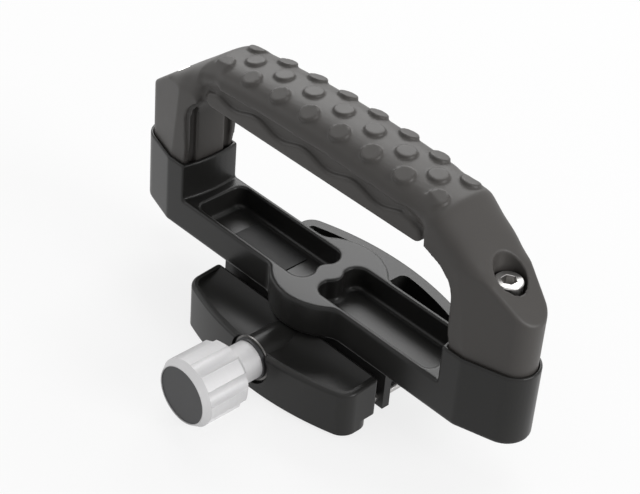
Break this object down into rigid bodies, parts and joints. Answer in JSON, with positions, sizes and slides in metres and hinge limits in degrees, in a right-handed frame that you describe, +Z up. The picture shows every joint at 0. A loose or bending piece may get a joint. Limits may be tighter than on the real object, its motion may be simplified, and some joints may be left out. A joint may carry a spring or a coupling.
{
  "type": "camera handle",
  "caption": "Top handle for a camera: a moulded bridge grip on a machined bar, with a screw-knob dovetail clamp under the bar",
  "frame": {"origin": "the middle of the dovetail channel's mouth, on the clamp's underside", "axes": "+X along the handle, -Y to the knob side, +Z up"},
  "size_m": [0.1826, 0.102, 0.0984],
  "materials": {
    "black_metal": "satin",
    "grip_plastic": "matte",
    "bright_steel": "satin",
    "satin_aluminium": "satin",
    "black_cap": "satin"
  },
  "bodies": {
    "frame": {"base_bar": "black_metal", "grip_handle": "grip_plastic", "grip_screws": "bright_steel", "grip_washers": "bright_steel", "clamp_body": "black_metal", "guide_pins": "bright_steel", "threaded_bush": "bright_steel", "mounting_screws": "bright_steel", "locating_pin": "bright_steel"},
    "jaw": {"moving_jaw": "black_metal", "jaw_spring": "bright_steel", "bearing_ring": "bright_steel", "thrust_washer": "black_cap"},
    "knob": {"knob": "satin_aluminium", "knob_cap": "black_cap", "clamp_screw": "bright_steel", "end_ring": "bright_steel"}
  },
  "joints": [
    {"name": "jaw_slide", "type": "slide", "parent": "frame", "child": "jaw", "axis": [0, -1, 0], "range_m": [-0.0025, 0.005], "deforming": ["jaw_spring"]},
    {"name": "knob_turn", "type": "hinge", "parent": "jaw", "child": "knob", "pos_m": [0, -0.05, 0.01143], "axis": [0, -1, 0], "range_deg": [-709, 1418]}
  ],
  "couplings": [
    {"joint": "knob_turn", "follows": "jaw_slide", "rad_per_m": 4947.4}
  ]
}
